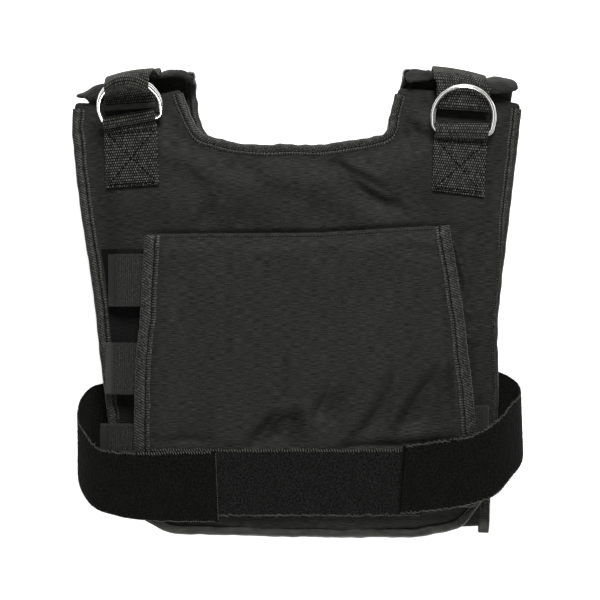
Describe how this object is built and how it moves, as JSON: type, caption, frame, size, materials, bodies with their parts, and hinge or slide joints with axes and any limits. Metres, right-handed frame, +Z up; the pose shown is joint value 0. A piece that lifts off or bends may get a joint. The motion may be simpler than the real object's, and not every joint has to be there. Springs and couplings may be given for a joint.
{
  "type": "weighted vest",
  "caption": "Padded cloth vest with a covered weight pouch on the chest, webbing shoulder straps through paired D rings and a wide wrap-round belt.",
  "frame": {"origin": "on the floor under the middle of the vest, which lies on its back", "axes": "+Y towards the head end, +Z up out of the chest, +X towards the right-hand side of the picture"},
  "size_m": [0.4274, 0.4438, 0.0762],
  "materials": {
    "nylon": "matt black woven nylon",
    "binding": "black ribbed binding tape",
    "webbing": "black ribbed webbing, slight sheen",
    "elastic": "black ribbed elastic",
    "hook_loop": "black brushed hook-and-loop pile",
    "steel": "bright plated steel wire"
  },
  "bodies": {
    "root": {"front_panel": "nylon", "front_neck_tape": "binding", "front_edge_tape": "binding", "back_panel": "nylon", "back_neck_tape": "binding", "back_left_tape": "binding", "back_right_tape": "binding", "weight_pouch": "nylon", "pouch_flap": "nylon", "flap_left_tape": "binding", "flap_right_tape": "binding", "side_loop_top": "elastic", "side_loop_middle": "elastic", "side_loop_low": "elastic", "side_loop_right": "elastic", "ring_tab_left": "webbing", "ring_tab_right": "webbing", "ring_left_upper": "steel", "ring_left_lower": "steel", "ring_right_upper": "steel", "ring_right_lower": "steel", "shoulder_strap_left": "webbing", "shoulder_strap_right": "webbing", "belt_left": "hook_loop", "belt_right": "hook_loop", "belt_back": "hook_loop", "belt_front_band": "hook_loop"}
  },
  "joints": []
}
